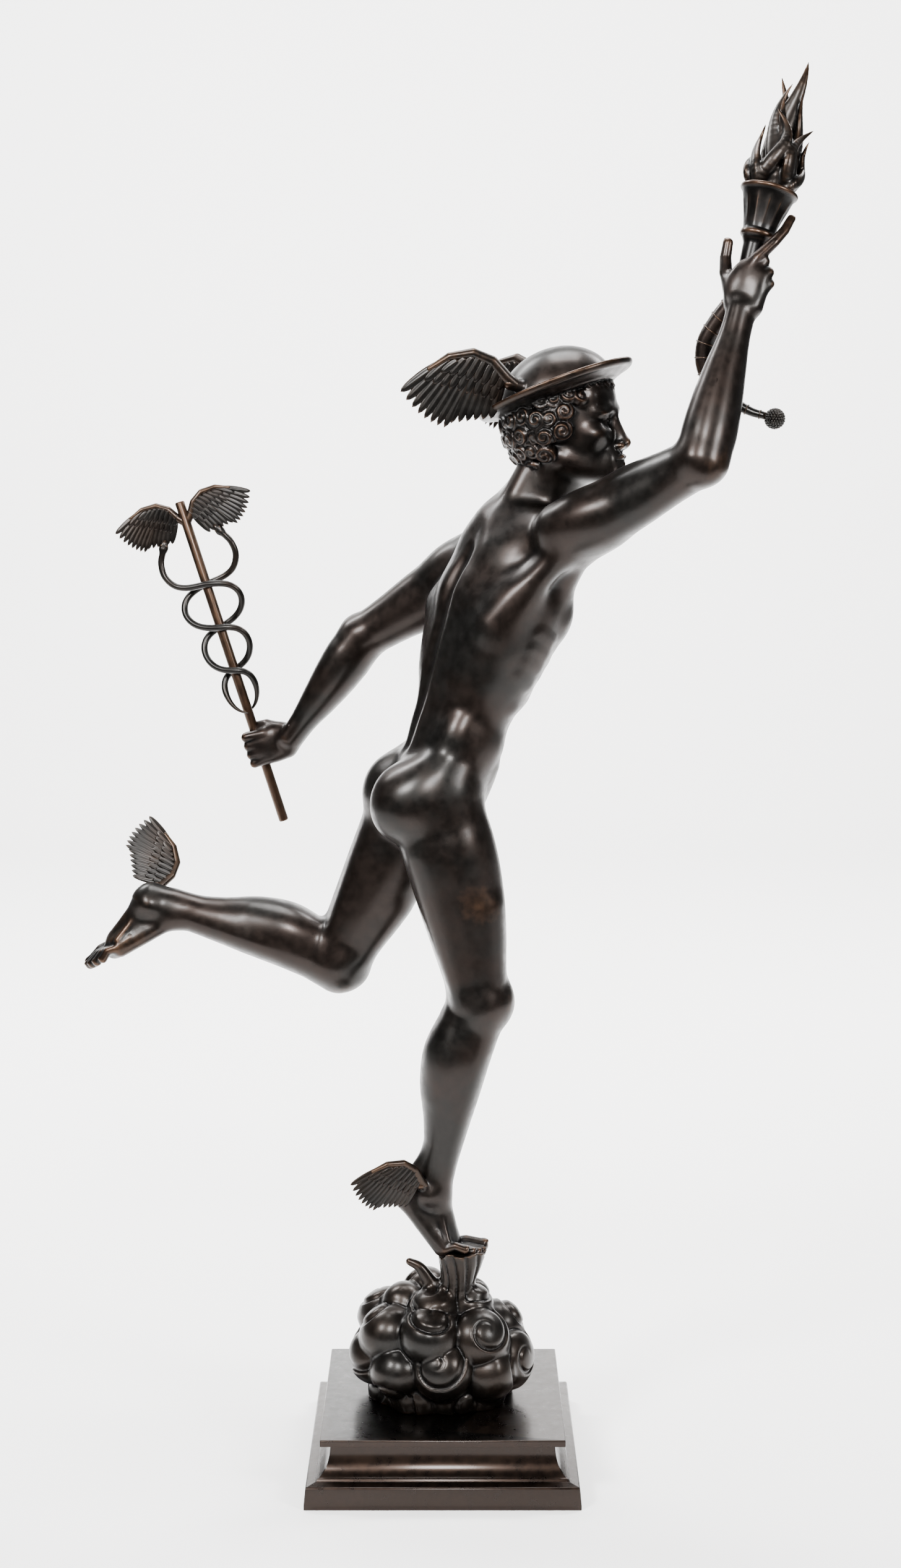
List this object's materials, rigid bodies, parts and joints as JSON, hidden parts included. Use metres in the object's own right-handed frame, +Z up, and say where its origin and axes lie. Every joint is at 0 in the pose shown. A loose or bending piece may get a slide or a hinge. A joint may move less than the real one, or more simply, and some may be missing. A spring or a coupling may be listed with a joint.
{
  "type": "bronze running figure statue",
  "caption": "Bronze statue of a winged-hat messenger running on a cloud bank with raised torch and snake staff, on a square moulded plinth.",
  "frame": {"origin": "middle of the plinth's flat underside", "axes": "+Z up, +X the way the figure runs, -Y towards the viewer of the picture, on the figure's right"},
  "size_m": [0.9288, 0.4691, 1.7998],
  "materials": {
    "bronze_black": "black-brown waxed patina, satin",
    "bronze_dark": "near-black brown waxed patina, satin",
    "bronze_rubbed": "dark patina rubbed brown on the crests, satin"
  },
  "bodies": {
    "root": {"plinth": "bronze_black", "cloud_base": "bronze_dark", "figure": "bronze_dark", "hat_wing_right": "bronze_rubbed", "hat_wing_left": "bronze_rubbed", "ankle_wing_right": "bronze_rubbed", "ankle_wing_left": "bronze_rubbed", "caduceus": "bronze_dark", "torch_horn": "bronze_dark", "torch_flame": "bronze_rubbed"}
  },
  "joints": []
}
